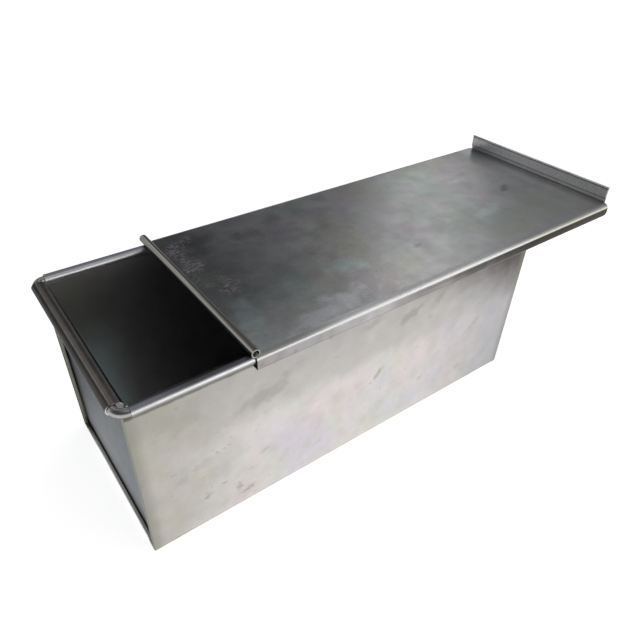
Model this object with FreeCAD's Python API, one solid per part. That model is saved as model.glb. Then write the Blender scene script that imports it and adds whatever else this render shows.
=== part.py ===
import FreeCAD, Part
import math
import os
from FreeCAD import Vector

# Pullman loaf pan with a sliding lid, folded from bare steel sheet, in millimetres.
# The origin is the middle of the underside. X runs along the pan, Y across it and Z up.
# The lid is drawn open towards +X, as far as LID_DRAWN_OPEN says.

# Stock
SHEET = 0.7                 # thickness of every sheet
WIRE_DIAMETER = 5.0         # steel wire inside the rolled rim

# Pan body
BODY_LENGTH = 300.0         # over the folded lips at both ends
BASE_WIDTH = 124.0          # outside of the long walls at the underside
RIM_WIDTH = 129.6           # outside of the long walls at the rim, without the rolls
RIM_HEIGHT = 122.5          # from the underside to the top of the rolled rim
BOTTOM_BEND = 1.4           # outside radius between the bottom and a long wall

# Folded seams that hold the end plates
END_RECESS = 3.0            # from the outside of a lip back to the end panel
LIP_WIDTH = 2.1             # how far a lip is folded back along its flange
LIP_EDGE = 0.9              # rounding along the folded edge of a lip
SEAM_PLAY = 0.05            # each side of a flange inside its fold
PLATE_BEND = 1.3            # outside radius between an end panel and its flange
PLATE_CORNER = 2.2          # rounding of the flange in the two bottom corners

# Rolled rim
WIRE_PLAY = 0.1             # between the wire and the sheet rolled over it
LONG_ROLL_TURN = 285.0      # degrees that a long wall goes round the wire
END_ROLL_TURN = 190.0       # degrees that an end plate goes round the wire, past its flat top
END_SHOULDER = 4.5          # radius at the top of an end panel, where it bends out to the wire
END_WIRE_OVERHANG = 2.3     # from the outside of a lip out to the middle of the end wire
WIRE_CORNER = 6.0           # radius of the four wire corners, at the middle of the wire
WIRE_BUTT_GAP = 1.0         # between the wire's two ends, inside the back roll
NOTCH_GAP = 0.5             # under the bare wire at a corner, down to the trimmed sheets

# Lid
LID_OVERHANG = 3.3          # past the rolled rim at each end, when the lid is closed
LID_DRAWN_OPEN = 75.7       # from the closed place, towards +X
LID_TOP_CLEARANCE = 0.3     # from the top of the rolled rim up to the lid
LID_SIDE_CLEARANCE = 0.6    # from the long rolls out to the lid's side channels
LID_BEND = 1.5              # outside radius of the lid's bends, apart from the two along its sides
CHANNEL_HEIGHT = 9.7        # from the lid's top face to the underside of its side channels
CHANNEL_LIP = 5.0           # width of the channel's lower lip, under the rim
CHANNEL_CORNER = 4.0        # rounding of the channel's lower corner at the upstand end
CURL_DIAMETER = 5.2         # outside of the curl at the lid's other end
CURL_TURN = 305.0           # degrees of the curl
CURL_SLIT = 0.4             # between the curl and the start of the side channels
CURL_INSET = 0.4            # from a side of the lid in to the end of the curl
UPSTAND_HEIGHT = 12.0       # above the lid's top face
UPSTAND_RELIEF = 0.4        # from the start of a side bend in to the upstand's end
HEM_FOOT = 2.5              # from the lid's top face up to the lower edge of the upstand's hem
HEM_GAP = 0.2               # between the two layers of the hem

# Sizes that follow
HALF_LENGTH = BODY_LENGTH / 2
HALF_BASE = BASE_WIDTH / 2
WALL_SLOPE = (RIM_WIDTH - BASE_WIDTH) / 2 / RIM_HEIGHT
WALL_LEAN = math.degrees(math.atan(WALL_SLOPE))
WALL_COS = math.cos(math.radians(WALL_LEAN))
WIRE_RADIUS = WIRE_DIAMETER / 2
ROLL_INSIDE = WIRE_RADIUS + WIRE_PLAY
ROLL_OUTSIDE = ROLL_INSIDE + SHEET
WIRE_Z = RIM_HEIGHT - ROLL_OUTSIDE
WIRE_X = HALF_LENGTH + END_WIRE_OVERHANG
WIRE_Y = HALF_BASE + WALL_SLOPE * WIRE_Z + ROLL_INSIDE / WALL_COS
LONG_ROLL_END = WIRE_X - WIRE_CORNER
END_ROLL_END = WIRE_Y - WIRE_CORNER
NOTCH_Z = WIRE_Z - WIRE_RADIUS - NOTCH_GAP
FLANGE_INSET = SHEET + SEAM_PLAY
RETURN_INSET = FLANGE_INSET + SHEET + SEAM_PLAY
FOLD_DEPTH = RETURN_INSET + SHEET
PANEL_OUTSIDE = HALF_LENGTH - END_RECESS
PANEL_INSIDE = PANEL_OUTSIDE - SHEET
FLANGE_END = HALF_LENGTH - FOLD_DEPTH / 2
LID_UNDERSIDE = RIM_HEIGHT + LID_TOP_CLEARANCE
LID_SIDE_BEND = ROLL_OUTSIDE + SHEET
LID_HALF_WIDTH = WIRE_Y + ROLL_OUTSIDE + LID_SIDE_CLEARANCE + SHEET
LID_FLAT_REACH = LID_HALF_WIDTH - LID_SIDE_BEND
LID_HALF_LENGTH = WIRE_X + ROLL_OUTSIDE + LID_OVERHANG
LID_LEFT = LID_DRAWN_OPEN - LID_HALF_LENGTH
LID_RIGHT = LID_DRAWN_OPEN + LID_HALF_LENGTH

# A tool solid passes this far beyond what it cuts.
PAST = 1.0

AXIS_X = Vector(1, 0, 0)
AXIS_Y = Vector(0, 1, 0)
AXIS_Z = Vector(0, 0, 1)


def bent_sheet(u_axis, start, heading, moves):
    """Face of a bent sheet seen edge on, in the plane of u_axis and Z, from its middle line.

    A move is ("run", length) or ("bend", radius of the middle line, degrees); left turns are positive.
    """
    half = SHEET / 2
    left_side = []
    right_side = []
    u, v = start
    angle = math.radians(heading)

    def point(offset):
        return u_axis * (u - math.sin(angle) * offset) + AXIS_Z * (v + math.cos(angle) * offset)

    start_cap = Part.LineSegment(point(-half), point(half)).toShape()
    for move in moves:
        begin = (point(half), point(-half))
        if move[0] == "run":
            u += move[1] * math.cos(angle)
            v += move[1] * math.sin(angle)
            left_side.append(Part.LineSegment(begin[0], point(half)).toShape())
            right_side.append(Part.LineSegment(begin[1], point(-half)).toShape())
        else:
            reach = math.copysign(move[1], move[2])
            centre_u = u - math.sin(angle) * reach
            centre_v = v + math.cos(angle) * reach
            halfway = []
            for share in (0.5, 0.5):
                angle += math.radians(move[2]) * share
                u = centre_u + math.sin(angle) * reach
                v = centre_v - math.cos(angle) * reach
                halfway.append((point(half), point(-half)))
            left_side.append(Part.Arc(begin[0], halfway[0][0], halfway[1][0]).toShape())
            right_side.append(Part.Arc(begin[1], halfway[0][1], halfway[1][1]).toShape())
    end_cap = Part.LineSegment(point(half), point(-half)).toShape()
    edges = [start_cap] + left_side + [end_cap] + right_side[::-1]
    return Part.Face(Part.Wire(Part.__sortEdges__(edges)))


def extrude_between(face, axis, low, high):
    """Solid of a face that lies in the plane through the origin, from low to high along axis."""
    moved = face.copy()
    moved.translate(axis * low)
    return moved.extrude(axis * (high - low))


def wall_outline(inset, top, corner):
    """Face across the pan, up to top: the trough's outside drawn in by inset, with round bottom corners."""
    turn = math.radians(90.0 - WALL_LEAN)
    tangent = corner * math.tan(turn / 2)
    foot = HALF_BASE + WALL_SLOPE * inset - inset / WALL_COS
    head = foot + WALL_SLOPE * (top - inset)
    centre = Vector(0, foot - tangent, inset + corner)
    bend_start = centre - AXIS_Z * corner
    bend_middle = centre + Vector(0, math.sin(turn / 2), -math.cos(turn / 2)) * corner
    bend_end = centre + Vector(0, math.sin(turn), -math.cos(turn)) * corner
    right_points = [bend_start, bend_middle, bend_end, Vector(0, head, top)]
    left_points = [Vector(0, -p.y, p.z) for p in right_points]
    edges = [
        Part.LineSegment(left_points[0], right_points[0]).toShape(),
        Part.Arc(*right_points[:3]).toShape(),
        Part.LineSegment(right_points[2], right_points[3]).toShape(),
        Part.LineSegment(right_points[3], left_points[3]).toShape(),
        Part.LineSegment(left_points[3], left_points[2]).toShape(),
        Part.Arc(*left_points[:3]).toShape(),
    ]
    return Part.Face(Part.Wire(Part.__sortEdges__(edges)))


def edges_at_x(solid, x, below):
    """Edges of a solid that lie in the plane at x, apart from any at the height below and higher."""
    tolerance = 1e-4
    return [
        e for e in solid.Edges
        if abs(e.BoundBox.XMin - x) < tolerance
        and abs(e.BoundBox.XMax - x) < tolerance
        and e.BoundBox.ZMin < below - tolerance
    ]


def mirrored(solid, normal):
    return solid.mirror(Vector(0, 0, 0), normal)


def joined(solids):
    return solids[0].multiFuse(solids[1:]).removeSplitter()


def long_wall_half():
    """One half of the trough's section: half the bottom, a leaning wall and its roll over the wire."""
    turn = 90.0 - WALL_LEAN
    bottom_run = HALF_BASE - BOTTOM_BEND * math.tan(math.radians(turn) / 2)
    bend_radius = BOTTOM_BEND - SHEET / 2
    roll_radius = ROLL_INSIDE + SHEET / 2
    bend_top = SHEET / 2 + bend_radius * (1 - math.cos(math.radians(turn)))
    roll_start = WIRE_Z + roll_radius * math.cos(math.radians(turn))
    wall_run = (roll_start - bend_top) / math.sin(math.radians(turn))
    return bent_sheet(AXIS_Y, (0, SHEET / 2), 0, [
        ("run", bottom_run),
        ("bend", bend_radius, turn),
        ("run", wall_run),
        ("bend", roll_radius, -LONG_ROLL_TURN),
    ])


def folded_lip():
    """The trough's sheet at the +X end, folded back in a U over the flange of the end plate."""
    lip_start = HALF_LENGTH - LIP_WIDTH
    lip = extrude_between(wall_outline(0, NOTCH_Z, BOTTOM_BEND), AXIS_X, lip_start, HALF_LENGTH)
    inside = wall_outline(FOLD_DEPTH, NOTCH_Z + PAST, PLATE_CORNER - SHEET)
    lip = lip.cut(extrude_between(inside, AXIS_X, lip_start - PAST, HALF_LENGTH + PAST))
    lip = lip.makeFillet(LIP_EDGE, edges_at_x(lip, HALF_LENGTH, NOTCH_Z))
    slot = extrude_between(wall_outline(SHEET, NOTCH_Z + PAST, PLATE_CORNER), AXIS_X,
                           lip_start - PAST, HALF_LENGTH - SHEET)
    slot = slot.cut(extrude_between(wall_outline(RETURN_INSET, NOTCH_Z + 2 * PAST, PLATE_CORNER - SHEET),
                                    AXIS_X, lip_start - 2 * PAST, HALF_LENGTH))
    return lip.cut(slot)


def pan_trough():
    """Front wall, bottom and back wall in one sheet, with rolled long edges and folded end lips."""
    half = extrude_between(long_wall_half(), AXIS_X, -LONG_ROLL_END, LONG_ROLL_END)
    band = extrude_between(wall_outline(0, NOTCH_Z, BOTTOM_BEND), AXIS_X,
                           LONG_ROLL_END, HALF_LENGTH - LIP_WIDTH)
    band_inside = wall_outline(SHEET, NOTCH_Z + PAST, BOTTOM_BEND - SHEET)
    band = band.cut(extrude_between(band_inside, AXIS_X, LONG_ROLL_END - PAST, HALF_LENGTH))
    lip = folded_lip()
    return joined([half, mirrored(half, AXIS_Y), band, mirrored(band, AXIS_X), lip, mirrored(lip, AXIS_X)])


def end_plate():
    """The +X end: a panel with a flange bent out on three sides, and a top edge rolled over the wire."""
    tray = wall_outline(FLANGE_INSET, NOTCH_Z, PLATE_CORNER)
    tray = extrude_between(tray, AXIS_X, PANEL_INSIDE, FLANGE_END)
    tray = tray.makeFillet(PLATE_BEND, edges_at_x(tray, PANEL_INSIDE, NOTCH_Z))
    hollow = wall_outline(FLANGE_INSET + SHEET, NOTCH_Z + PAST, PLATE_CORNER - SHEET)
    hollow = extrude_between(hollow, AXIS_X, PANEL_OUTSIDE, FLANGE_END + PAST)
    hollow = hollow.makeFillet(PLATE_BEND - SHEET, edges_at_x(hollow, PANEL_OUTSIDE, NOTCH_Z + PAST))
    tray = tray.cut(hollow)
    panel_middle = PANEL_OUTSIDE - SHEET / 2
    shoulder_radius = END_SHOULDER - SHEET / 2
    rim = bent_sheet(AXIS_X, (panel_middle, NOTCH_Z), 90, [
        ("run", RIM_HEIGHT - END_SHOULDER - NOTCH_Z),
        ("bend", shoulder_radius, -90),
        ("run", WIRE_X - panel_middle - shoulder_radius),
        ("bend", ROLL_INSIDE + SHEET / 2, -END_ROLL_TURN),
    ])
    return joined([tray, extrude_between(rim, AXIS_Y, -END_ROLL_END, END_ROLL_END)])


def rim_wire():
    """One wire bent into a rectangle with round corners, with its ends a small gap apart at the back."""
    long_run = 2 * (WIRE_X - WIRE_CORNER)
    short_run = 2 * (WIRE_Y - WIRE_CORNER)
    end_run = (long_run - WIRE_BUTT_GAP) / 2
    here = Vector(WIRE_BUTT_GAP / 2, WIRE_Y, WIRE_Z)
    heading = AXIS_X
    solids = []
    for length in (end_run, short_run, long_run, short_run):
        disc = Part.Face(Part.Wire(Part.makeCircle(WIRE_RADIUS, here, heading)))
        solids.append(disc.extrude(heading * length))
        disc.translate(heading * length)
        inward = heading.cross(AXIS_Z)
        centre = here + heading * length + inward * WIRE_CORNER
        solids.append(disc.revolve(centre, AXIS_Z, -90))
        here = centre + heading * WIRE_CORNER
        heading = inward
    last_disc = Part.Face(Part.Wire(Part.makeCircle(WIRE_RADIUS, here, heading)))
    solids.append(last_disc.extrude(heading * end_run))
    return joined(solids)


def lid_channel_half():
    """Half of the lid's section across the pan: the flat top and one side channel round the rim."""
    return bent_sheet(AXIS_Y, (0, LID_UNDERSIDE + SHEET / 2), 0, [
        ("run", LID_FLAT_REACH),
        ("bend", LID_SIDE_BEND - SHEET / 2, -90),
        ("run", CHANNEL_HEIGHT - LID_SIDE_BEND - LID_BEND),
        ("bend", LID_BEND - SHEET / 2, -90),
        ("run", CHANNEL_LIP - LID_BEND),
    ])


def lower_corner_cutter(x, z):
    """Tool that rounds the lower corner, at x and z, of both side channels."""
    bulge = CHANNEL_CORNER * (1 - math.sqrt(0.5))
    arc_start = Vector(x - CHANNEL_CORNER, 0, z)
    arc_end = Vector(x, 0, z + CHANNEL_CORNER)
    outer = [arc_end, Vector(x + PAST, 0, arc_end.z), Vector(x + PAST, 0, z - PAST),
             Vector(arc_start.x, 0, z - PAST), arc_start]
    edges = [Part.Arc(arc_start, Vector(x - bulge, 0, z + bulge), arc_end).toShape()]
    edges += [Part.LineSegment(a, b).toShape() for a, b in zip(outer, outer[1:])]
    reach = LID_HALF_WIDTH + PAST
    return extrude_between(Part.Face(Part.Wire(edges)), AXIS_Y, -reach, reach)


def sliding_lid():
    """Flat lid with a channel along each side, a curl at the -X end and a hemmed upstand at the +X end."""
    top = LID_UNDERSIDE + SHEET
    middle = LID_UNDERSIDE + SHEET / 2
    flat_start = LID_LEFT + CURL_DIAMETER / 2
    flat_end = LID_RIGHT - LID_BEND
    half = extrude_between(lid_channel_half(), AXIS_X, flat_start + CURL_SLIT, flat_end)
    channels = half.fuse(mirrored(half, AXIS_Y))
    channels = channels.cut(lower_corner_cutter(flat_end, top - CHANNEL_HEIGHT))
    neck = Part.makeBox(CURL_SLIT, 2 * LID_FLAT_REACH, SHEET,
                        Vector(flat_start, -LID_FLAT_REACH, LID_UNDERSIDE))
    curl = bent_sheet(AXIS_X, (flat_start, middle), 180, [("bend", (CURL_DIAMETER - SHEET) / 2, -CURL_TURN)])
    curl_reach = LID_HALF_WIDTH - CURL_INSET
    hem_radius = (SHEET + HEM_GAP) / 2
    hem_top = top + UPSTAND_HEIGHT - SHEET / 2 - hem_radius
    upstand = bent_sheet(AXIS_X, (flat_end, middle), 0, [
        ("bend", LID_BEND - SHEET / 2, 90),
        ("run", hem_top - LID_UNDERSIDE - LID_BEND),
        ("bend", hem_radius, 180),
        ("run", hem_top - top - HEM_FOOT),
    ])
    upstand_reach = LID_FLAT_REACH - UPSTAND_RELIEF
    return joined([
        channels,
        neck,
        extrude_between(curl, AXIS_Y, -curl_reach, curl_reach),
        extrude_between(upstand, AXIS_Y, -upstand_reach, upstand_reach),
    ])


PARTS = {
    "pan_trough": pan_trough(),
    "left_end_plate": mirrored(end_plate(), AXIS_X),
    "right_end_plate": end_plate(),
    "rim_wire": rim_wire(),
    "sliding_lid": sliding_lid(),
}

os.makedirs("parts", exist_ok=True)
for name, shape in PARTS.items():
    solids = shape.Solids
    print(name, len(solids), "solid", shape.isValid(), round(shape.Volume, 1), "mm3", shape.BoundBox)
    Part.Compound(solids).exportStep("parts/" + name + ".step")
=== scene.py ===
import math
from collections import namedtuple

import bpy
from mathutils import Matrix, Vector


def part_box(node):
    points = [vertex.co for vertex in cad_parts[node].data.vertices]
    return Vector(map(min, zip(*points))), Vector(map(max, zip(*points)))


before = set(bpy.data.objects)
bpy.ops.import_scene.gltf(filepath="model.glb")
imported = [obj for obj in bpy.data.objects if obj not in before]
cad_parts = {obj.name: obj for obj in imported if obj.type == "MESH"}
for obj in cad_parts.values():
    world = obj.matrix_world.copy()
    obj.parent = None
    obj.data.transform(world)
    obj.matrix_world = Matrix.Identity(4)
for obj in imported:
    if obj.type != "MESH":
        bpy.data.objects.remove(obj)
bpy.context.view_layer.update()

# Worn, bare steel for a folded bread tin with a sliding lid. Sizes in the materials are in millimetres.
MM = 1000.0


def tone(red, green, blue):
    """Opaque colour."""
    return (red, green, blue, 1.0)


def corners(node):
    """Lowest and highest corner of a node at rest, in millimetres."""
    return [Vector(corner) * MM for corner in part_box(node)]


# Kinds of values
# A fade is a pair of numbers: its mask is 0 at the first and 1 at the second.
# A band's mask is 1 from low to high and fades out over soft on each side.
Band = namedtuple("Band", "low high soft")
# A wander moves an edge to and fro by up to about its reach.
Wander = namedtuple("Wander", "size seed reach")
# Clouds are numbers that drift over a pair of numbers, their reach.
Clouds = namedtuple("Clouds", "size seed detail reach")
# Spots are a mask of scattered patches, with the fade at their edge.
Spots = namedtuple("Spots", "size seed detail edge stretch turn", defaults=((1, 1, 1), 0.0))
# Waves are the unevenness of a surface.
Waves = namedtuple("Waves", "size seed detail depth")
# A coat is a colour that comes in along a fade, up to its strength.
Coat = namedtuple("Coat", "colour fade strength wander", defaults=(1.0, None))
# A shade is a pair of factors for the colour that is there, at the start and the end of a fade.
Shade = namedtuple("Shade", "fade factors wander", defaults=(None,))
# A tint is a colour in soft patches.
Tint = namedtuple("Tint", "colour size seed strength")
# Scratches are fine light lines, turned by an angle in radians.
Scratches = namedtuple("Scratches", "turn seed strength")
# A mark's place and tilt are on its wall, as x and z, or on the lid, as x and y.
Mark = namedtuple("Mark", "along across length width tilt strength colour")

# Camera
CAMERA_PLACE = Vector((-0.1908, -0.2696, 0.3171))
CAMERA_LOOK = Vector((0.4821, 0.6365, -0.6020))
CAMERA_ROLL = math.radians(1.57)
CAMERA_LENS = 32.87
CAMERA_SENSOR = 36.0
CAMERA_NEAR = 0.01

# Studio floor
FLOOR_REACH = 6.0
FLOOR_DROP = 0.0002
FLOOR_COLOUR = tone(0.92, 0.92, 0.92)
FLOOR_GLOW = 0.80
WHITE = tone(1.0, 1.0, 1.0)

# Colour of the room by elevation in degrees: white at the horizon and dim overhead.
ROOM = [
    (5.0, WHITE),
    (14.0, tone(0.10, 0.105, 0.115)),
    (36.0, tone(0.085, 0.09, 0.10)),
    (62.0, tone(0.065, 0.068, 0.074)),
]

# Softboxes: azimuth from +X towards +Y and elevation in degrees, distance, width and height in metres.
# A radiance of 1 looks white.
Softbox = namedtuple("Softbox", "name azimuth elevation distance width height radiance tint")
SOFTBOXES = [
    Softbox("front_softbox", -55, 8, 2.2, 2.4, 0.60, 1.7, (1.0, 0.985, 0.96)),
    Softbox("front_upper_softbox", -55, 30, 2.2, 2.4, 0.80, 0.65, (1.0, 0.99, 0.97)),
    Softbox("top_softbox", -60, 78, 2.2, 1.8, 1.8, 0.42, (1.0, 0.99, 0.97)),
    Softbox("back_softbox", 40, 31, 2.6, 0.48, 1.35, 1.02, (1.0, 1.0, 0.97)),
    Softbox("upper_softbox", 60, 48, 2.6, 0.6, 0.5, 0.50, (0.98, 0.985, 1.0)),
    Softbox("high_softbox", 48, 61, 2.6, 1.7, 0.85, 0.50, (1.0, 1.0, 0.98)),
    Softbox("right_softbox", 20, 30, 2.6, 0.80, 1.1, 0.31, (0.97, 0.99, 1.0)),
    Softbox("left_softbox", 144, 24, 2.4, 1.1, 1.0, 0.62, (0.95, 0.97, 1.0)),
    Softbox("end_softbox", 97, 42, 2.6, 0.8, 1.0, 1.0, (1.0, 0.985, 0.96)),
]

# Places on the part
trough_high = corners("pan_trough")[1]
plate_low = corners("right_end_plate")[0]
wire_low, wire_high = corners("rim_wire")
lid_low, lid_high = corners("sliding_lid")
SHEET = 0.7
BODY_END = trough_high.x
PANEL_INSIDE = plate_low.x
PANEL_OUTSIDE = PANEL_INSIDE + SHEET
RIM_TOP = trough_high.z
WIRE_Z = (wire_low.z + wire_high.z) / 2
ROLL_FOOT = 2 * WIRE_Z - RIM_TOP
LID_CLEARANCE = 0.3
LID_TOP = RIM_TOP + LID_CLEARANCE + SHEET
CURL_RADIUS = 2.6
CURL_MIDDLE = lid_low.x + CURL_RADIUS
CURL_HEIGHT = LID_TOP - SHEET + CURL_RADIUS
CURL_END = CURL_MIDDLE + CURL_RADIUS
HEM_RISE = 2.5
HEM_FOOT = LID_TOP + HEM_RISE

# Fades across the part, along y, and on faces that show the sheet's cut edge
FRONT_SIDE = (10, -10)
BACK_SIDE = (-10, 10)
CUT_FACE = (0.9, 0.97)

# Make-up of patches, wandering edges, marks and scratches
PATCH_DETAIL = 5
PATCH_EDGE = (0.46, 0.66)
WANDER_DETAIL = 4
MARK_DETAIL = 6
MARK_RAGGED = (-1.4, 1.4)
MARK_EDGE = (1.25, 0.2)
SCRATCH_WIDTH = 0.5
SCRATCH_STRETCH = (60, 1, 60)
SCRATCH_DETAIL = 1
SCRATCH_EDGE = (0.68, 0.78)
SCRATCHED_SIZE = 30
SCRATCHED_DETAIL = 3
SCRATCHED_EDGE = (0.45, 0.65)
SCRATCHED_SEED_STEP = 0.5

# Colours that several pieces share
# Dark colour for grime, and for painted shade in crevices, gaps and on undersides
GRIME_AND_SHADE = tone(0.10, 0.09, 0.078)
CUT_EDGE = tone(0.62, 0.62, 0.60)
SEASONED = tone(0.59, 0.57, 0.57)
SEASONED_METALLIC = 0.8
EDGE_TINT = tone(0.8, 0.8, 0.8)
WALL_OLIVE = tone(0.44, 0.425, 0.355)
OLIVE_SMEAR = tone(0.33, 0.325, 0.27)
GREY_SMEAR = tone(0.34, 0.335, 0.33)
BROWN_SMEAR = tone(0.27, 0.225, 0.19)
BLUE_SMEAR = tone(0.42, 0.43, 0.50)

# Long walls
WALL_STEEL = tone(0.712, 0.672, 0.672)
WALL_TINTS = [
    Tint(tone(0.745, 0.645, 0.650), 44, 1.3, 0.60),
    Tint(tone(0.615, 0.66, 0.59), 32, 2.7, 0.48),
    Tint(tone(0.68, 0.64, 0.545), 20, 4.1, 0.45),
    Tint(tone(0.635, 0.61, 0.685), 36, 5.9, 0.55),
    Tint(tone(0.54, 0.525, 0.495), 12, 7.7, 0.30),
]
WALL_WANDER = Wander(16, 8.1, 9)
# Darker, browner steel above a wandering height
WALL_UPPER_DARKENING = Coat(tone(0.525, 0.505, 0.48), (62, 82), 0.88)
WALL_DULL = Coat(WALL_OLIVE, (-70, -165), 0.85, Wander(30, 9.3, 30))
# Painted shade towards the far end of the walls
WALL_SHADY = Coat(tone(0.41, 0.41, 0.425), (35, 158), 0.70, Wander(24, 5.7, 12))
# Painted shade along the top of the walls, under the lid's side
WALL_TOP_SHADE = Shade((84, 104), (1.0, 0.89))
WALL_TOP_SHADE_ALONG = (90, 30)
# Painted dark reflection under the rim at the far end, along a slanted edge
WALL_DARK_REFLECTION = Coat(tone(0.085, 0.070, 0.062), (10, 135), 0.94)
WALL_DARK_REFLECTION_HEIGHT = 110
WALL_DARK_REFLECTION_SLOPE = 2.6
SPECKS = Spots(3.2, 6.7, 2, (0.70, 0.79))
END_SPECKS = Spots(5.0, 3.3, 6, (0.62, 0.72), turn=0.7)
END_SPECKS_ALONG = (-50, -110)
SPECKS_STRENGTH = 0.6
WALL_CLOUDS = Clouds(11, 4.7, 7, (0.86, 1.10))
WALL_SCRATCHES = Scratches(0.3, 3.9, 0.25)
WALL_ROUGHNESS = Clouds(10, 6.1, 5, (0.27, 0.45))
WALL_WAVES = Waves(60, 7.0, 2, 0.25)
WALL_MARKS = [
    Mark(14, 56, 7.5, 2.6, 45, 0.55, OLIVE_SMEAR),
    Mark(58, 30, 3.2, 2.0, 30, 0.35, OLIVE_SMEAR),
    Mark(38, 95, 12.0, 5.0, 28, 0.60, OLIVE_SMEAR),
    Mark(63, 99, 8.0, 3.4, 45, 0.55, OLIVE_SMEAR),
    Mark(57, 86, 2.8, 2.2, 0, 0.35, OLIVE_SMEAR),
    Mark(107, 59, 12.0, 3.0, 35, 0.28, OLIVE_SMEAR),
    Mark(7, 103, 9.0, 3.4, 12, 0.35, OLIVE_SMEAR),
    Mark(109, 94, 8.0, 4.0, 50, 0.40, GREY_SMEAR),
    Mark(86, 97, 5.0, 3.0, 0, 0.40, GREY_SMEAR),
    Mark(86, 108, 16.0, 2.6, 4, 0.55, BROWN_SMEAR),
    Mark(128, 20, 6.0, 4.0, 0, 0.40, BLUE_SMEAR),
    Mark(99, 21, 3.4, 2.2, 0, 0.30, GREY_SMEAR),
    Mark(-92, 18, 5.0, 2.4, 75, 0.60, GREY_SMEAR),
    Mark(-86, 12, 5.0, 2.2, 15, 0.60, GREY_SMEAR),
    Mark(-113, 26, 3.0, 2.2, 0, 0.35, OLIVE_SMEAR),
    Mark(-127, 49, 5.0, 3.0, 20, 0.30, GREY_SMEAR),
    Mark(-72, 40, 4.0, 1.6, 20, 0.35, GREY_SMEAR),
    Mark(-113, 55, 7.0, 4.0, 0, 0.22, GREY_SMEAR),
    Mark(-32, 21, 5.0, 3.0, 30, 0.20, GREY_SMEAR),
    Mark(-75, 109, 1.7, 1.5, 0, 0.70, GREY_SMEAR),
    Mark(-27, 107, 1.8, 1.2, 0, 0.70, GREY_SMEAR),
    Mark(-72, 88, 22.0, 8.0, 20, 0.50, OLIVE_SMEAR),
    Mark(-120, 95, 16.0, 8.0, 40, 0.30, OLIVE_SMEAR),
]

# Rolled long edges, with painted reflections, painted shade and a painted highlight
ROLL_EDGE = (ROLL_FOOT - 0.6, ROLL_FOOT + 0.3)
ROLL_DARK_REFLECTION = tone(0.12, 0.124, 0.135)
ROLL_BLUE_REFLECTION = tone(0.31, 0.325, 0.375)
ROLL_CORNER_WANDER = Wander(8, 3.1, 4)
ROLL_CORNER_ALONG = (114, 140)
ROLL_INNER_SHADE = Shade((0.45, -0.15), (1.0, 0.3))
ROLL_FLANK = Coat(tone(0.68, 0.69, 0.70), (0.48, 0.96))
ROLL_LOWER_SHADE = Coat(tone(0.24, 0.225, 0.20), (WIRE_Z + 1.3, WIRE_Z - 0.5))
ROLL_BACK_HIGHLIGHT = Coat(tone(0.95, 0.95, 0.95), (-0.45, -0.8))
ROLL_CLOUDS = Clouds(7, 5.3, 5, (0.88, 1.10))
ROLL_ROUGHNESS = Clouds(5, 7.3, 3, (0.28, 0.38))
# Painted shade on the wall just under the rolled edge
UNDER_RIM_SHADE = Coat(GRIME_AND_SHADE, (110.2, 112.4), 0.85, Wander(6, 2.2, 1))

# Inside of the trough
INSIDE_WALL_FACE = (-0.2, -0.6)
INSIDE_FLOOR_FACE = (0.4, 0.8)
INSIDE_TOP = (WIRE_Z - 1.2, WIRE_Z - 2.6)
INSIDE_ROUGHNESS = 0.36
# Painted light near the ends of the inside: teal low down and olive higher up
INSIDE_END_LIGHT = tone(0.83, 0.92, 0.93)
INSIDE_END_LIGHT_OLIVE = Coat(tone(0.55, 0.535, 0.49), (50, 90), 1.0, Wander(20, 2.9, 10))
INSIDE_END_LIGHT_WANDER = Wander(14, 3.7, 6)
INSIDE_END_LIGHT_ALONG = (102, 128)
SEASONED_CLOUDS = Clouds(18, 6.6, 6, (0.85, 1.12))
CAVITY_ALONG = (PANEL_INSIDE + 0.1, PANEL_INSIDE - 0.1)

# Folded end seams and their lips
SEAM_ALONG = (PANEL_INSIDE - 0.1, PANEL_INSIDE + 0.1)
SEAM_STEEL = tone(0.88, 0.875, 0.85)
# Painted shade in the seam's recess towards the back
SEAM_BACK_SHADE = Coat(WALL_OLIVE, (40, 57))
LIP_ALONG = (BODY_END - 0.9, BODY_END - 0.5)
LIP_STEEL = tone(0.86, 0.855, 0.82)
LIP_OLIVE = tone(0.27, 0.268, 0.23)
LIP_CORNER = (50, 57)
LIP_RISE = (4, 14)
# Painted shade on the lips towards the back
LIP_BACK_SHADE = Shade((20, 50), (1.0, 0.35))
WALL_END = Coat(LIP_OLIVE, (BODY_END - 9, BODY_END - 0.5), 0.6)
# Painted shade in the crevice where the seam's lip meets the end panel
CREVICE_SHADE = Coat(GRIME_AND_SHADE, (PANEL_OUTSIDE + 0.9, PANEL_OUTSIDE + 0.2), 0.95)
CREVICE_SHADE_SIDE = (58, 53)

# End plates
END_INSIDE_FACE = (-0.3, -0.7)
# Darker, bluer steel for the end plates: part tarnish, part painted shade
END_STEEL_TARNISH_AND_SHADE = tone(0.305, 0.31, 0.308)
END_CLOUDS = Clouds(14, 1.1, 5, (0.86, 1.14))
END_PATCHES = Spots(20, 2.1, 4, (0.5, 0.7))
END_PATCHES_STRENGTH = 0.22
# Painted shade towards the top of the panels, under the roll
END_HEIGHT_SHADE = Shade((112, 5), (0.64, 1.06))
# Painted shade in the panels' upper back corner
END_BACK_CORNER_SHADE = Shade((40, 106), (1.0, 0.14))
# Painted shade along the foot of the end panels, in the seam's recess
END_FOOT_SHADE = Coat(GRIME_AND_SHADE, (3.2, 2.0), 0.85, Wander(5, 4.2, 0.6))
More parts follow.
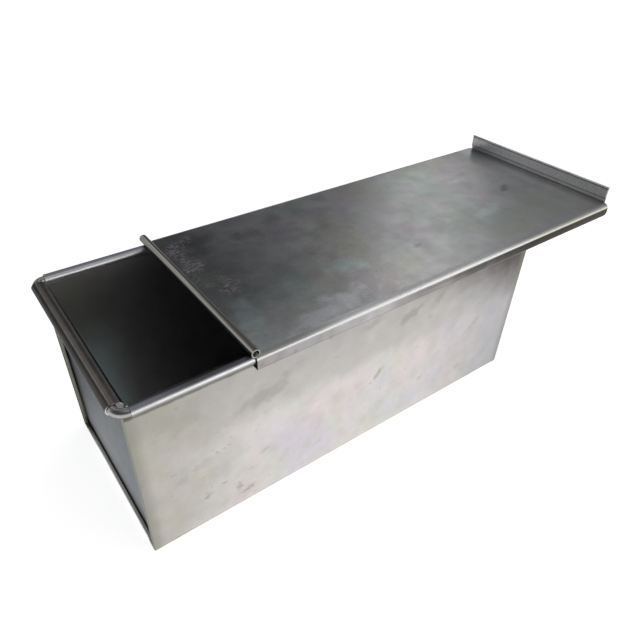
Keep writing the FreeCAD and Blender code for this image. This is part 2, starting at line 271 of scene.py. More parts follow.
# End rolls: dark steel, partly blackened and partly painted dark reflection, with more painted dark
# reflection on the flanks
END_ROLL = tone(0.18, 0.165, 0.152)
END_ROLL_DARK_REFLECTION = tone(0.075, 0.066, 0.058)
END_ROLL_DARK_REFLECTION_OUTSIDE = (0.25, 0.7)
END_ROLL_DARK_REFLECTION_INSIDE = (-0.35, -0.7)
END_ROLL_DARK_REFLECTION_INSIDE_SHARE = 0.4
END_ROLL_DARK_REFLECTION_STRENGTH = 0.9
END_ROLL_CLOUDS = Clouds(6, 3.1, 6, (0.75, 1.25))
END_ROUGHNESS = Clouds(9, 2.3, 4, (0.28, 0.42))
END_ROLL_ROUGHNESS = Clouds(5, 7.3, 3, (0.26, 0.38))
# Lower edge tint for the end plates, dimming their grazing reflections as painted shade
END_SHADED_EDGE_TINT = tone(0.5, 0.52, 0.55)

# Wire
WIRE_STEEL = tone(0.46, 0.455, 0.44)
WIRE_CLOUDS = Clouds(5, 1.1, 4, (0.75, 1.1))
WIRE_SPOTS = Spots(3, 4.4, 4, (0.55, 0.7))
WIRE_SPOTS_STRENGTH = 0.6
# Painted shade on the wire's underside
WIRE_UNDERSIDE_SHADE = Coat(GRIME_AND_SHADE, (0.0, -0.4), 0.8)
WIRE_ROUGHNESS = Clouds(4, 2.2, 4, (0.26, 0.40))
WIRE_WAVES = Waves(2, 3.3, 3, 0.05)

# Top of the lid
LID_TOP_FACE = (0.9, 0.98)
LID_STEEL = tone(0.475, 0.475, 0.48)
LID_TINTS = [
    Tint(tone(0.41, 0.48, 0.455), 60, 1.3, 0.70),
    Tint(tone(0.495, 0.425, 0.48), 48, 2.7, 0.60),
    Tint(tone(0.47, 0.46, 0.385), 70, 4.1, 0.60),
    Tint(tone(0.55, 0.555, 0.58), 26, 5.9, 0.40),
    Tint(tone(0.39, 0.365, 0.39), 14, 7.7, 0.40),
    Tint(tone(0.42, 0.465, 0.44), 9, 8.9, 0.30),
]
# Painted dark reflection over the left back of the top
LID_DARK_REFLECTION = Shade((-58, -5), (1.0, 0.60), Wander(20, 3.6, 10))
LID_DARK_REFLECTION_ALONG = (30, -70)
# Painted shade near the curl
LID_SHADE_BY_CURL = Shade((-72, -30), (1.0, 0.72))
LID_SHADE_BY_CURL_ALONG = (-30, -72)
LID_LIGHT = Shade((-20, -60), (1.0, 1.16), Wander(20, 4.6, 10))
LID_LIGHT_ALONG = Band(30, 105, 30)
# Painted shade towards the far end, and painted light just by the upstand
LID_FAR_SHADE = Shade((160, 228), (1.0, 0.76), Wander(20, 1.6, 14))
LID_LIGHT_BY_UPSTAND = Shade((211, 224), (1.0, 1.35))
TEAL = tone(0.57, 0.69, 0.69)
LILAC = tone(0.78, 0.70, 0.79)
PALE = tone(0.70, 0.70, 0.74)
SMUDGE = tone(0.22, 0.215, 0.21)
LID_MARKS = [
    Mark(-66, -36, 18.0, 8.0, 80, 0.85, TEAL),
    Mark(-58, 50, 17.0, 12.0, 0, 0.65, SMUDGE),
    Mark(-20, 40, 16.0, 8.0, 20, 0.45, SMUDGE),
    Mark(-24, -60, 34.0, 10.0, 10, 0.75, PALE),
    Mark(13, -26, 15.0, 10.0, 0, 0.55, TEAL),
    Mark(189, -7, 9.0, 3.6, 20, 0.75, SMUDGE),
    Mark(149, -27, 14.0, 7.0, 20, 0.42, TEAL),
    Mark(193, -60, 9.0, 4.0, 0, 0.60, BLUE_SMEAR),
    Mark(166, 24, 2.4, 1.6, 0, 0.50, PALE),
    Mark(67, -35, 5.0, 2.0, 20, 0.50, SMUDGE),
    Mark(150, 50, 18.0, 9.0, 0, 0.35, TEAL),
]
LID_SCUFFS = [
    Mark(-69, 27, 22.0, 9.0, 86, 0.56, LILAC),
    Mark(-60, -4, 15.0, 7.0, 60, 0.50, LILAC),
    Mark(-66, 52, 14.0, 8.0, 30, 0.48, LILAC),
]
SCUFF_SPECKLES = Spots(1.6, 5.5, 8, (0.42, 0.62), (1.5, 1, 1), 0.9)
LID_SCRATCHES = [Scratches(0.5, 3.1, 0.4), Scratches(-0.9, 6.3, 0.4)]
LID_ROUGHNESS = Clouds(13, 2.9, 6, (0.24, 0.44))
LID_WAVES = Waves(70, 7.0, 2, 0.25)

# Grain of the lid's top: its clouds, and how much of them is kept from the far end to the curl's end
LID_GRAIN_ALONG = (80, 10)
LID_GRAINS = [
    (Clouds(7, 4.3, 7, (0.84, 1.15)), (0.6, 1.0)),
    (Clouds(2.0, 8.3, 5, (0.80, 1.20)), (0.25, 1.0)),
]
PLAIN_GRAIN = 0.5

# Long sides of the lid
LID_SIDE_FACE = (-0.3, -0.8)
LID_SIDE_STEEL = tone(0.31, 0.302, 0.287)
LID_SIDE_TINTS = [
    Tint(tone(0.735, 0.655, 0.655), 48, 1.3, 0.55),
    Tint(tone(0.63, 0.65, 0.60), 36, 2.7, 0.40),
    Tint(tone(0.67, 0.64, 0.56), 24, 4.1, 0.40),
    Tint(tone(0.64, 0.62, 0.67), 42, 5.9, 0.50),
    Tint(tone(0.54, 0.525, 0.495), 12, 7.7, 0.30),
]
LID_SIDE_MARKS = [
    Mark(-78, 117, 1.6, 1.3, 0, 0.60, GREY_SMEAR),
    Mark(-57, 116, 1.8, 1.2, 30, 0.60, GREY_SMEAR),
    Mark(-33, 115, 1.6, 1.0, 0, 0.60, GREY_SMEAR),
    Mark(-10, 118, 5.0, 1.4, 20, 0.30, OLIVE_SMEAR),
]
# Painted dark reflection towards the far end of the long sides
LID_SIDE_DARK_REFLECTION = Coat(tone(0.02, 0.016, 0.011), (-30, 150), 0.95, Wander(20, 5.1, 14))
LID_SIDE_START = Shade((-28, -60), (1.0, 0.75))
# Painted shade just under the bend
UNDER_BEND_SHADE = Shade((10, 70), (1.0, 0.72))
UNDER_BEND_SHADE_HEIGHT = Band(LID_TOP - 5.6, LID_TOP - 4.0, 0.6)
# Painted shade on the faces of the lid that look down
LID_UNDERSIDE_SHADE = Coat(GRIME_AND_SHADE, (-0.05, -0.3), 0.6)

# Long bends of the lid: rubbed all round and worn along a line, in paint that is partly wear and partly a
# painted highlight
RUBBED_SHEEN_FROM = (0.03, 0.2)
RUBBED_SHEEN_TO = (0.995, 0.9)
RUBBED_SHEEN_START = tone(0.42, 0.42, 0.42)
RUBBED_SHEEN_MIDDLE = Coat(tone(0.86, 0.86, 0.86), (-60, -10))
RUBBED_SHEEN_END = Coat(tone(0.56, 0.56, 0.56), (80, 150))
RUBBED_ROUGHNESS = 0.56
WORN_HIGHLIGHT_LINE = Band(0.87, 0.955, 0.03)
WORN_HIGHLIGHT_STEEL = tone(0.55, 0.547, 0.53)
WORN_HIGHLIGHT_END = Coat(tone(0.46, 0.445, 0.36), (110, 170))
WORN_ROUGHNESS = 0.34

# Curl of the lid, and the ends of its channels under the curl
RAISED = (LID_TOP + 0.1, LID_TOP + 0.4)
CURL_ALONG = (CURL_END + 0.8, CURL_END + 0.2)
CURL_STEEL = tone(0.66, 0.65, 0.60)
CURL_CUT = tone(0.34, 0.335, 0.31)
CURL_LEAN_ACROSS = (40, -60)
CURL_LEAN = (0.0, 0.28)
CURL_INNER_FACE = (-0.35, 0.0)
CURL_OUTER_FACE = (-0.70, -0.90)
CURL_BORE = (-0.5, -1.0)
# Grime and painted shade on the curl's flanks and in its bore
CURL_GRIME_AND_SHADE = 0.9
CURL_ROUGHNESS = 0.36
CHANNEL_FACE = (-0.9, -0.97)
CHANNEL_DROP = (LID_TOP - 1, LID_TOP - 2)
# Painted shade on the channels' cut ends under the curl
CHANNEL_END_SHADE = 0.9

# Upstand of the lid, with its hem
UPSTAND_ALONG = (lid_high.x - 4, lid_high.x - 3)
UPSTAND_FACE = (0.6, 0.1)
# Painted shade along the foot of the upstand
UPSTAND_FOOT_SHADE = Coat(GRIME_AND_SHADE, (LID_TOP + 1.3, LID_TOP + 0.7), 0.5)
HEM_STEEL = tone(0.74, 0.73, 0.745)
HEM_EDGE = tone(0.64, 0.63, 0.64)
HEM_GROOVE = Band(lid_high.z - 1.7, lid_high.z - 1.0, 0.3)
# Painted shade in the groove under the hem's top edge
HEM_GROOVE_SHADE = 0.7
HEM_TOP_EDGE = Coat(HEM_EDGE, (lid_high.z - 0.6, lid_high.z - 0.2))
HEM_LOW_EDGE = Coat(HEM_EDGE, (HEM_FOOT + 0.05, HEM_FOOT - 0.05))
# Painted shadow under the hem's free edge
HEM_EDGE_SHADOW = Band(HEM_FOOT + 0.1, HEM_FOOT + 1.1, 0.3)
HEM_EDGE_SHADOW_STRENGTH = 0.5
HEM_GRAIN = Clouds(2.2, 6.1, 5, (0.72, 1.22))
HEM_CLOUDS = Clouds(9, 4.3, 6, (0.85, 1.12))
# Painted shade towards the back of the upstand
HEM_BACK_SHADE = Shade((15, 66), (1.04, 0.42))

# Sockets of the mix node, which has a set for numbers and one for colours
MIX_MASK = 0
MIX_NUMBER_UNDER = 2
MIX_NUMBER_OVER = 3
MIX_NUMBER_RESULT = 0
MIX_COLOUR_UNDER = 6
MIX_COLOUR_OVER = 7
MIX_COLOUR_RESULT = 2


def add_node(tree, kind, inputs=None, **settings):
    """New node with its settings, and with a value or a link on each named input."""
    node = tree.nodes.new(kind)
    for key, value in settings.items():
        setattr(node, key, value)
    for key, value in (inputs or {}).items():
        if isinstance(value, bpy.types.NodeSocket):
            tree.links.new(value, node.inputs[key])
        else:
            node.inputs[key].default_value = value
    return node


def mix_colours(tree, mask, under, over, blend_type="MIX"):
    """Colour over mixed with colour under by the mask."""
    inputs = {MIX_MASK: mask, MIX_COLOUR_UNDER: under, MIX_COLOUR_OVER: over}
    node = add_node(tree, "ShaderNodeMix", inputs, data_type="RGBA", blend_type=blend_type)
    return node.outputs[MIX_COLOUR_RESULT]


class Paint:
    """Node tree of one material. Its places and sizes are in millimetres, in the part's own frame."""

    def __init__(self, name):
        self.material = bpy.data.materials.new(name)
        self.material.use_nodes = True
        self.tree = self.material.node_tree
        self.tree.nodes.clear()
        coordinates = self.add("ShaderNodeTexCoord").outputs
        inputs = {0: coordinates["Object"], "Scale": MM}
        self.place = self.add("ShaderNodeVectorMath", inputs, operation="SCALE").outputs[0]
        self.x, self.y, self.z = self.add("ShaderNodeSeparateXYZ", {0: self.place}).outputs
        normal = self.add("ShaderNodeSeparateXYZ", {0: coordinates["Normal"]})
        self.normal_x, self.normal_y, self.normal_z = normal.outputs

    def add(self, kind, inputs=None, **settings):
        """New node in this material."""
        return add_node(self.tree, kind, inputs, **settings)

    def calc(self, operation, first, second=0.0):
        """Result of an operation on one or two numbers."""
        return self.add("ShaderNodeMath", {0: first, 1: second}, operation=operation).outputs[0]

    def both(self, *masks):
        """The masks multiplied together."""
        result = masks[0]
        for mask in masks[1:]:
            result = self.calc("MULTIPLY", result, mask)
        return result

    def either(self, first, second):
        """The stronger of two masks."""
        return self.calc("MAXIMUM", first, second)

    def ease(self, value, fade):
        """Mask of a fade, with a smooth step."""
        start, end = fade
        node = self.add("ShaderNodeMapRange", {"Value": value, "From Min": start, "From Max": end},
                        interpolation_type="SMOOTHSTEP")
        return node.outputs[0]

    def band(self, value, band):
        """Mask of a band."""
        rising = self.ease(value, (band.low - band.soft, band.low))
        falling = self.ease(value, (band.high + band.soft, band.high))
        return self.both(rising, falling)

    def span(self, value, reach):
        """A value from 0 to 1 spread over a pair of numbers."""
        low, high = reach
        return self.add("ShaderNodeMapRange", {"Value": value, "To Min": low, "To Max": high}).outputs[0]

    def noise(self, size, seed, detail, stretch=(1, 1, 1), turn=0.0):
        """Cloudy pattern from 0 to 1, with features about size wide, drawn out along an axis by stretch."""
        scale = [1.0 / (size * factor) for factor in stretch]
        mapped = self.add("ShaderNodeMapping", {"Vector": self.place, "Location": (seed, seed, seed),
                                                "Rotation": (turn, turn, turn), "Scale": scale})
        node = self.add("ShaderNodeTexNoise", {"Vector": mapped.outputs[0], "Scale": 1.0, "Detail": detail})
        return node.outputs[0]

    def wandering(self, value, wander):
        """A place that wanders, so that an edge drawn from it is uneven."""
        drift = self.noise(wander.size, wander.seed, WANDER_DETAIL)
        return self.calc("ADD", value, self.span(drift, (-wander.reach, wander.reach)))

    def uneven(self, clouds):
        """Number that drifts over the clouds' reach."""
        return self.span(self.noise(clouds.size, clouds.seed, clouds.detail), clouds.reach)

    def spots(self, spots):
        """Mask of scattered spots."""
        pattern = self.noise(spots.size, spots.seed, spots.detail, spots.stretch, spots.turn)
        return self.ease(pattern, spots.edge)

    def masked(self, value, fade, wander, where):
        """Mask of a fade, with an edge that may wander, kept to where another mask says."""
        if wander is not None:
            value = self.wandering(value, wander)
        mask = self.ease(value, fade)
        if where is not None:
            mask = self.both(mask, where)
        return mask

    def layer(self, under, over, mask, strength=1.0):
        """Colour over laid on colour under where the mask says, up to strength."""
        if strength != 1.0:
            mask = self.calc("MULTIPLY", mask, strength)
        return mix_colours(self.tree, mask, under, over)

    def coated(self, under, value, coat, where=None):
        """Colour under with a coat on it, as the value goes through the coat's fade."""
        mask = self.masked(value, coat.fade, coat.wander, where)
        return self.layer(under, coat.colour, mask, coat.strength)

    def times(self, under, factor):
        """Colour under made darker or lighter by a factor."""
        return mix_colours(self.tree, 1.0, under, factor, "MULTIPLY")

    def shaded(self, under, value, shade, where=None):
        """Colour under times the shade's factors, as the value goes through the shade's fade."""
        mask = self.masked(value, shade.fade, shade.wander, where)
        return self.times(under, self.span(mask, shade.factors))

    def clouded(self, under, clouds):
        """Colour under made uneven by clouds."""
        return self.times(under, self.uneven(clouds))

    def blend(self, under, over, mask):
        """Number over taken in place of number under where the mask says."""
        inputs = {MIX_MASK: mask, MIX_NUMBER_UNDER: under, MIX_NUMBER_OVER: over}
        return self.add("ShaderNodeMix", inputs, data_type="FLOAT").outputs[MIX_NUMBER_RESULT]

    def mottled(self, colour, tints):
        """Colour with soft patches of other colours."""
        for tint in tints:
            patch = self.spots(Spots(tint.size, tint.seed, PATCH_DETAIL, PATCH_EDGE))
            colour = self.layer(colour, tint.colour, patch, tint.strength)
        return colour

    def blot(self, u, v, mark, seed):
        """Mask of one ragged patch."""
        moved = self.add("ShaderNodeCombineXYZ", {0: self.calc("SUBTRACT", u, mark.along),
                                                  1: self.calc("SUBTRACT", v, mark.across)})
        inputs = {"Vector": moved.outputs[0], "Rotation": (0, 0, math.radians(mark.tilt)),
                  "Scale": (mark.length, mark.width, 1)}
        turned = self.add("ShaderNodeMapping", inputs, vector_type="TEXTURE").outputs[0]
        reach = self.add("ShaderNodeVectorMath", {0: turned}, operation="LENGTH").outputs["Value"]
        ragged = self.span(self.noise(mark.width, seed, MARK_DETAIL), MARK_RAGGED)
        return self.ease(self.calc("ADD", reach, ragged), MARK_EDGE)

    def marked(self, colour, u, v, marks, where):
        """Colour with each of the marks laid on it, where the mask says."""
        for number, mark in enumerate(marks):
            patch = self.both(self.blot(u, v, mark, number), where)
            colour = self.layer(colour, mark.colour, patch, mark.strength)
        return colour

    def scratched(self, colour, scratches):
        """Colour with fine light lines, in patches."""
        lines = self.spots(Spots(SCRATCH_WIDTH, scratches.seed, SCRATCH_DETAIL, SCRATCH_EDGE,
                                 SCRATCH_STRETCH, scratches.turn))
        patches = self.spots(Spots(SCRATCHED_SIZE, scratches.seed + SCRATCHED_SEED_STEP,
                                   SCRATCHED_DETAIL, SCRATCHED_EDGE))
        return self.layer(colour, CUT_EDGE, self.both(lines, patches), scratches.strength)

    def steel(self, colour, roughness, waves, edge_tint, metallic=1.0):
        """The finished material."""
        height = self.noise(waves.size, waves.seed, waves.detail)
        bump = self.add("ShaderNodeBump", {"Height": height, "Distance": waves.depth / MM})
        shader = self.add("ShaderNodeBsdfPrincipled", {"Base Color": colour, "Metallic": metallic,
                                                       "Roughness": roughness, "Specular Tint": edge_tint,
                                                       "Normal": bump.outputs[0]})
        self.add("ShaderNodeOutputMaterial", {"Surface": shader.outputs[0]})
        return self.material


def wall_colour(paint):
    """Outside of the long walls: mottled, dull towards one end, with painted shade and a painted dark
    reflection under the rim at the other.
    """
    front = paint.ease(paint.y, FRONT_SIDE)
    high = paint.wandering(paint.z, WALL_WANDER)
    colour = paint.mottled(WALL_STEEL, WALL_TINTS)
    colour = paint.coated(colour, high, WALL_UPPER_DARKENING)
    colour = paint.coated(colour, paint.x, WALL_DULL)
    colour = paint.coated(colour, paint.x, WALL_SHADY)
    colour = paint.shaded(colour, high, WALL_TOP_SHADE, paint.ease(paint.x, WALL_TOP_SHADE_ALONG))
    above = paint.calc("SUBTRACT", high, WALL_DARK_REFLECTION_HEIGHT)
    slant = paint.calc("ADD", paint.calc("MULTIPLY", above, WALL_DARK_REFLECTION_SLOPE), paint.x)
    colour = paint.coated(colour, slant, WALL_DARK_REFLECTION, front)
    colour = paint.marked(colour, paint.x, paint.z, WALL_MARKS, front)
    end_specks = paint.both(paint.spots(END_SPECKS), paint.ease(paint.x, END_SPECKS_ALONG))
    specks = paint.either(paint.spots(SPECKS), end_specks)
    colour = paint.layer(colour, GREY_SMEAR, specks, SPECKS_STRENGTH)
    colour = paint.clouded(colour, WALL_CLOUDS)
    return paint.scratched(colour, WALL_SCRATCHES)


def roll_colour(paint, end_reach, outward):
    """Rolled long edges with painted reflections: dark on top, bright on the flanks, bluer by the corners
    and along the back, with painted shade low down and a painted highlight inside the back roll.
    """
    front = paint.ease(paint.y, FRONT_SIDE)
    back = paint.ease(paint.y, BACK_SIDE)
    near_corner = paint.ease(paint.wandering(end_reach, ROLL_CORNER_WANDER), ROLL_CORNER_ALONG)
    colour = paint.layer(ROLL_DARK_REFLECTION, ROLL_BLUE_REFLECTION, paint.either(near_corner, back))
    colour = paint.shaded(colour, outward, ROLL_INNER_SHADE, front)
    colour = paint.coated(colour, paint.calc("ABSOLUTE", paint.normal_y), ROLL_FLANK)
    colour = paint.coated(colour, paint.z, ROLL_LOWER_SHADE)
    colour = paint.coated(colour, outward, ROLL_BACK_HIGHLIGHT, back)
    return paint.clouded(colour, ROLL_CLOUDS)


def inside_colour(paint, end_reach):
    """Seasoned inside of the trough, with painted light near the ends that is teal low down and olive higher
    up.
    """
    lit_end = paint.ease(paint.wandering(end_reach, INSIDE_END_LIGHT_WANDER), INSIDE_END_LIGHT_ALONG)
    lit_colour = paint.coated(INSIDE_END_LIGHT, paint.z, INSIDE_END_LIGHT_OLIVE)
    return paint.clouded(paint.layer(SEASONED, lit_colour, lit_end), SEASONED_CLOUDS)


def lip_colour(paint, side_reach):
    """Lips of the end seams: bright along the bottom, olive up the walls, with painted shade towards the
    back.
    """
    olive = paint.either(paint.ease(side_reach, LIP_CORNER), paint.ease(paint.z, LIP_RISE))
    return paint.shaded(paint.layer(LIP_STEEL, LIP_OLIVE, olive), paint.y, LIP_BACK_SHADE)


def trough_material():
    """Walls, rolls, seasoned inside, and end seams with painted shade in their crevices."""
    paint = Paint("trough_steel")
    end_reach = paint.calc("ABSOLUTE", paint.x)
    side_reach = paint.calc("ABSOLUTE", paint.y)
    outward = paint.calc("MULTIPLY", paint.calc("SIGN", paint.y), paint.normal_y)
    inside_wall = paint.ease(outward, INSIDE_WALL_FACE)
    inside_floor = paint.ease(paint.normal_z, INSIDE_FLOOR_FACE)
    inside = paint.both(paint.either(inside_wall, inside_floor), paint.ease(paint.z, INSIDE_TOP))
    seam = paint.both(paint.ease(end_reach, SEAM_ALONG), inside)
    lip = paint.ease(end_reach, LIP_ALONG)
    roll = paint.ease(paint.z, ROLL_EDGE)
    cut = paint.both(paint.ease(paint.calc("ABSOLUTE", paint.normal_x), CUT_FACE), roll)

    colour = wall_colour(paint)
    colour = paint.coated(colour, end_reach, WALL_END)
    colour = paint.coated(colour, paint.z, UNDER_RIM_SHADE)
    colour = paint.layer(colour, roll_colour(paint, end_reach, outward), roll)
    colour = paint.layer(colour, inside_colour(paint, end_reach), inside)
    colour = paint.layer(colour, paint.coated(SEAM_STEEL, paint.y, SEAM_BACK_SHADE), seam)
    colour = paint.layer(colour, lip_colour(paint, side_reach), lip)
    colour = paint.coated(colour, end_reach, CREVICE_SHADE, paint.both(seam, paint.ease(side_reach, CREVICE_SHADE_SIDE)))
    colour = paint.layer(colour, CUT_EDGE, cut)

    roughness = paint.uneven(WALL_ROUGHNESS)
    roughness = paint.blend(roughness, paint.uneven(ROLL_ROUGHNESS), roll)
    roughness = paint.blend(roughness, INSIDE_ROUGHNESS, paint.either(inside, lip))
    cavity = paint.both(inside, paint.ease(end_reach, CAVITY_ALONG))
    metallic = paint.blend(1.0, SEASONED_METALLIC, cavity)
    return paint.steel(colour, roughness, WALL_WAVES, EDGE_TINT, metallic)


def end_roll_colour(paint, outward):
    """Rolled top edges of the end plates, with a painted dark reflection on the outside and less of it on
    the inside.
    """
    inner_reflection = paint.calc("MULTIPLY", paint.ease(outward, END_ROLL_DARK_REFLECTION_INSIDE), END_ROLL_DARK_REFLECTION_INSIDE_SHARE)
    dark_reflection = paint.either(paint.ease(outward, END_ROLL_DARK_REFLECTION_OUTSIDE), inner_reflection)
    return paint.clouded(paint.layer(END_ROLL, END_ROLL_DARK_REFLECTION, dark_reflection, END_ROLL_DARK_REFLECTION_STRENGTH), END_ROLL_CLOUDS)


def end_material():
    """End plates: dull panels, part tarnish and part painted shade, with more painted shade at the top and
    in the back corner, and a dark roll.
    """
    paint = Paint("end_steel")
    outward = paint.calc("MULTIPLY", paint.calc("SIGN", paint.x), paint.normal_x)
    inside = paint.both(paint.ease(outward, END_INSIDE_FACE), paint.ease(paint.z, INSIDE_TOP))
    roll = paint.ease(paint.z, ROLL_EDGE)
    cut = paint.both(paint.ease(paint.calc("ABSOLUTE", paint.normal_y), CUT_FACE), roll)

    colour = paint.clouded(END_STEEL_TARNISH_AND_SHADE, END_CLOUDS)
    colour = paint.layer(colour, WALL_OLIVE, paint.spots(END_PATCHES), END_PATCHES_STRENGTH)
    colour = paint.shaded(colour, paint.z, END_HEIGHT_SHADE)
    colour = paint.shaded(colour, paint.calc("ADD", paint.y, paint.z), END_BACK_CORNER_SHADE)
    colour = paint.coated(colour, paint.z, END_FOOT_SHADE)
    colour = paint.layer(colour, end_roll_colour(paint, outward), roll)
    colour = paint.layer(colour, SEASONED, inside)
    colour = paint.layer(colour, CUT_EDGE, cut)

    roughness = paint.blend(paint.uneven(END_ROUGHNESS), paint.uneven(END_ROLL_ROUGHNESS), roll)
    metallic = paint.blend(1.0, SEASONED_METALLIC, inside)
    return paint.steel(colour, roughness, WALL_WAVES, END_SHADED_EDGE_TINT, metallic)


def wire_material():
    """Drawn wire with spots of grime, and painted shade on its underside."""
    paint = Paint("wire_steel")
    colour = paint.clouded(WIRE_STEEL, WIRE_CLOUDS)
    colour = paint.layer(colour, GRIME_AND_SHADE, paint.spots(WIRE_SPOTS), WIRE_SPOTS_STRENGTH)
    colour = paint.coated(colour, paint.normal_z, WIRE_UNDERSIDE_SHADE)
    return paint.steel(colour, paint.uneven(WIRE_ROUGHNESS), WIRE_WAVES, EDGE_TINT)


def lid_top_colour(paint):
    """Flat top: stained and scuffed along the curl, with painted dark reflection and shade by the curl and
    at the far end, and painted light by the upstand.
    """
    top = paint.ease(paint.normal_z, LID_TOP_FACE)
    colour = paint.mottled(LID_STEEL, LID_TINTS)
    colour = paint.marked(colour, paint.x, paint.y, LID_MARKS, top)
    colour = paint.shaded(colour, paint.y, LID_DARK_REFLECTION, paint.ease(paint.x, LID_DARK_REFLECTION_ALONG))
    colour = paint.shaded(colour, paint.y, LID_SHADE_BY_CURL, paint.ease(paint.x, LID_SHADE_BY_CURL_ALONG))
    colour = paint.shaded(colour, paint.y, LID_LIGHT, paint.band(paint.x, LID_LIGHT_ALONG))
    colour = paint.shaded(colour, paint.x, LID_FAR_SHADE)
    colour = paint.shaded(colour, paint.x, LID_LIGHT_BY_UPSTAND)
    colour = paint.marked(colour, paint.x, paint.y, LID_SCUFFS, paint.both(top, paint.spots(SCUFF_SPECKLES)))
    grainy = paint.ease(paint.x, LID_GRAIN_ALONG)
    for clouds, share in LID_GRAINS:
        pattern = paint.noise(clouds.size, clouds.seed, clouds.detail)
        grain = paint.blend(PLAIN_GRAIN, pattern, paint.span(grainy, share))
        colour = paint.times(colour, paint.span(grain, clouds.reach))
    for scratches in LID_SCRATCHES:
        colour = paint.scratched(colour, scratches)
    return colour


def lid_side_colour(paint, front_side):
    """Long sides: like the wall at the curl's end, with a painted dark reflection towards the far end and
    painted shade under the bend.
    """
    colour = paint.mottled(LID_SIDE_STEEL, LID_SIDE_TINTS)
    colour = paint.clouded(colour, WALL_CLOUDS)
    colour = paint.marked(colour, paint.x, paint.z, LID_SIDE_MARKS, front_side)
    colour = paint.coated(colour, paint.x, LID_SIDE_DARK_REFLECTION)
    colour = paint.shaded(colour, paint.x, UNDER_BEND_SHADE, paint.band(paint.z, UNDER_BEND_SHADE_HEIGHT))
    return paint.shaded(colour, paint.x, LID_SIDE_START)


def curl_colour(paint, sideways):
    """Curl: a light line on top that narrows to the front, with grime and painted shade on the flanks and in
    the bore.
    """
    lean = paint.span(paint.ease(paint.y, CURL_LEAN_ACROSS), CURL_LEAN)
    inner_flank = paint.ease(paint.calc("ADD", paint.normal_x, lean), CURL_INNER_FACE)
    flanks = paint.either(inner_flank, paint.ease(paint.normal_x, CURL_OUTER_FACE))
    along = paint.calc("MULTIPLY", paint.normal_x, paint.calc("SUBTRACT", paint.x, CURL_MIDDLE))
    upward = paint.calc("MULTIPLY", paint.normal_z, paint.calc("SUBTRACT", paint.z, CURL_HEIGHT))
    bore = paint.ease(paint.calc("ADD", along, upward), CURL_BORE)
    colour = paint.layer(CURL_STEEL, GRIME_AND_SHADE, paint.either(flanks, bore), CURL_GRIME_AND_SHADE)
    return paint.layer(colour, CURL_CUT, paint.ease(sideways, CUT_FACE))


def upstand_colour(paint):
    """Inner face of the upstand: light edges of the hem, with painted shade under them, at the foot and
    towards the back.
    """
    colour = paint.layer(HEM_STEEL, GRIME_AND_SHADE, paint.band(paint.z, HEM_GROOVE), HEM_GROOVE_SHADE)
    colour = paint.coated(colour, paint.z, HEM_TOP_EDGE)
    colour = paint.coated(colour, paint.z, HEM_LOW_EDGE)
    colour = paint.layer(colour, GRIME_AND_SHADE, paint.band(paint.z, HEM_EDGE_SHADOW), HEM_EDGE_SHADOW_STRENGTH)
    colour = paint.coated(colour, paint.z, UPSTAND_FOOT_SHADE)
    colour = paint.clouded(colour, HEM_GRAIN)
    colour = paint.clouded(colour, HEM_CLOUDS)
    return paint.shaded(colour, paint.y, HEM_BACK_SHADE)


def lid_material():
    """Lid: its top and long sides, the bends between them, the curl, the channels' ends and the upstand."""
    paint = Paint("lid_steel")
    sideways = paint.calc("ABSOLUTE", paint.normal_y)
    front_side = paint.ease(paint.normal_y, LID_SIDE_FACE)
    rubbed_sheen = paint.both(paint.ease(sideways, RUBBED_SHEEN_FROM), paint.ease(sideways, RUBBED_SHEEN_TO))
    worn_highlight = paint.band(sideways, WORN_HIGHLIGHT_LINE)
    raised = paint.ease(paint.z, RAISED)
    curl = paint.both(raised, paint.ease(paint.x, CURL_ALONG))
    channel_end = paint.both(paint.ease(paint.normal_x, CHANNEL_FACE), paint.ease(paint.z, CHANNEL_DROP))
    upstand_face = paint.ease(paint.normal_x, UPSTAND_FACE)
    upstand = paint.both(raised, paint.ease(paint.x, UPSTAND_ALONG), upstand_face)

    colour = lid_top_colour(paint)
    colour = paint.layer(colour, lid_side_colour(paint, front_side), front_side)
    rubbed_sheen_colour = paint.coated(RUBBED_SHEEN_START, paint.x, RUBBED_SHEEN_MIDDLE)
    rubbed_sheen_colour = paint.coated(rubbed_sheen_colour, paint.x, RUBBED_SHEEN_END)
    colour = paint.layer(colour, rubbed_sheen_colour, rubbed_sheen)
    colour = paint.layer(colour, paint.coated(WORN_HIGHLIGHT_STEEL, paint.x, WORN_HIGHLIGHT_END), worn_highlight)
    colour = paint.coated(colour, paint.normal_z, LID_UNDERSIDE_SHADE)
    colour = paint.layer(colour, curl_colour(paint, sideways), curl)
    colour = paint.layer(colour, GRIME_AND_SHADE, channel_end, CHANNEL_END_SHADE)
    colour = paint.layer(colour, upstand_colour(paint), upstand)

    roughness = paint.uneven(LID_ROUGHNESS)
    roughness = paint.blend(roughness, RUBBED_ROUGHNESS, rubbed_sheen)
    roughness = paint.blend(roughness, WORN_ROUGHNESS, worn_highlight)
    roughness = paint.blend(roughness, CURL_ROUGHNESS, curl)
    return paint.steel(colour, roughness, LID_WAVES, EDGE_TINT)


def dress(node, material):
    """Give a node its material."""
    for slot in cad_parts[node].material_slots:
        slot.material = material


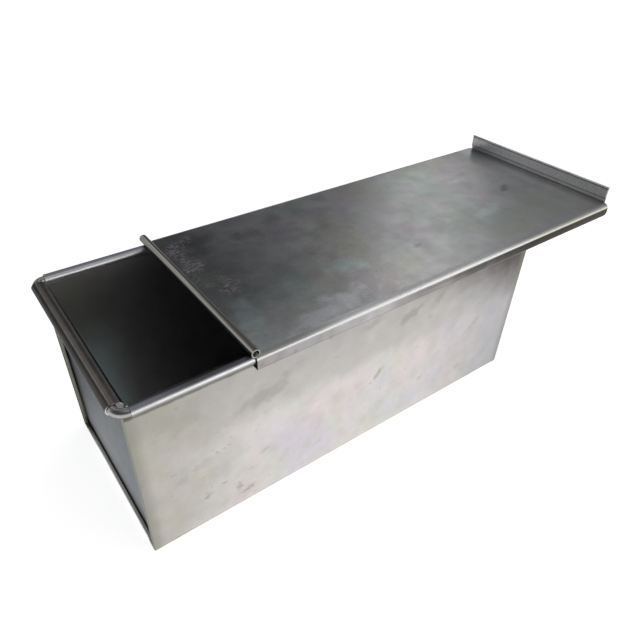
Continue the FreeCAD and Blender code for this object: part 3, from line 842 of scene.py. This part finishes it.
def floor_material():
    """Pale floor that takes a shadow. It glows to the camera and in reflections, so that it is white."""
    material = bpy.data.materials.new("studio_floor")
    material.use_nodes = True
    tree = material.node_tree
    tree.nodes.clear()
    path = add_node(tree, "ShaderNodeLightPath").outputs
    seen = path["Is Camera Ray"]
    for other in ("Is Glossy Ray", "Is Transmission Ray"):
        seen = add_node(tree, "ShaderNodeMath", {0: seen, 1: path[other]}, operation="MAXIMUM").outputs[0]
    strength = add_node(tree, "ShaderNodeMath", {0: seen, 1: FLOOR_GLOW}, operation="MULTIPLY").outputs[0]
    glow = add_node(tree, "ShaderNodeEmission", {"Strength": strength}).outputs[0]
    diffuse = add_node(tree, "ShaderNodeBsdfDiffuse", {"Color": FLOOR_COLOUR}).outputs[0]
    whole = add_node(tree, "ShaderNodeAddShader", {0: diffuse, 1: glow}).outputs[0]
    add_node(tree, "ShaderNodeOutputMaterial", {"Surface": whole})
    return material


def studio_floor():
    """Square floor just under the part."""
    mesh = bpy.data.meshes.new("studio_floor")
    plan = [(-FLOOR_REACH, -FLOOR_REACH), (FLOOR_REACH, -FLOOR_REACH),
            (FLOOR_REACH, FLOOR_REACH), (-FLOOR_REACH, FLOOR_REACH)]
    mesh.from_pydata([(x, y, -FLOOR_DROP) for x, y in plan], [], [range(len(plan))])
    mesh.materials.append(floor_material())
    floor = bpy.data.objects.new("studio_floor", mesh)
    bpy.context.scene.collection.objects.link(floor)


def studio_world():
    """A dim room above a white horizon, and a plain white background for the camera."""
    world = bpy.data.worlds.new("studio")
    world.use_nodes = True
    bpy.context.scene.world = world
    tree = world.node_tree
    tree.nodes.clear()
    direction = add_node(tree, "ShaderNodeTexCoord").outputs["Generated"]
    height = add_node(tree, "ShaderNodeSeparateXYZ", {0: direction}).outputs["Z"]
    ramp = add_node(tree, "ShaderNodeValToRGB", {"Fac": height})
    stops = ramp.color_ramp.elements
    stops.remove(stops[1])
    for elevation, colour in ROOM:
        stop = stops.new(math.sin(math.radians(elevation)))
        stop.color = colour
    stops[0].color = WHITE
    seen = add_node(tree, "ShaderNodeLightPath").outputs["Is Camera Ray"]
    colour = mix_colours(tree, seen, ramp.outputs[0], WHITE)
    background = add_node(tree, "ShaderNodeBackground", {"Color": colour}).outputs[0]
    add_node(tree, "ShaderNodeOutputWorld", {"Surface": background})


def studio_lights():
    """Softboxes aimed at the middle of the pan, at the lid's height."""
    aim = Vector((0.0, 0.0, LID_TOP / MM))
    for box in SOFTBOXES:
        lamp = bpy.data.lights.new(box.name, "AREA")
        lamp.shape = "RECTANGLE"
        lamp.size = box.width
        lamp.size_y = box.height
        lamp.energy = box.radiance * math.pi * box.width * box.height
        lamp.color = box.tint
        turn = math.radians(box.azimuth)
        rise = math.radians(box.elevation)
        outward = Vector((math.cos(turn) * math.cos(rise), math.sin(turn) * math.cos(rise), math.sin(rise)))
        holder = bpy.data.objects.new(box.name, lamp)
        holder.location = outward * box.distance + aim
        holder.rotation_euler = outward.to_track_quat("Z", "Y").to_euler()
        holder.visible_camera = False
        bpy.context.scene.collection.objects.link(holder)


def studio_camera():
    """Camera above the front left corner."""
    data = bpy.data.cameras.new("camera")
    data.sensor_width = CAMERA_SENSOR
    data.lens = CAMERA_LENS
    data.clip_start = CAMERA_NEAR
    camera = bpy.data.objects.new("camera", data)
    aim = CAMERA_LOOK.to_track_quat("-Z", "Y").to_matrix().to_4x4()
    camera.matrix_world = Matrix.Translation(CAMERA_PLACE) @ aim @ Matrix.Rotation(CAMERA_ROLL, 4, "Z")
    bpy.context.scene.collection.objects.link(camera)
    bpy.context.scene.camera = camera


dress("pan_trough", trough_material())
end_finish = end_material()
for end in ("left_end_plate", "right_end_plate"):
    dress(end, end_finish)
dress("rim_wire", wire_material())
dress("sliding_lid", lid_material())
studio_floor()
studio_world()
studio_lights()
studio_camera()
bpy.context.scene.view_settings.view_transform = "Standard"
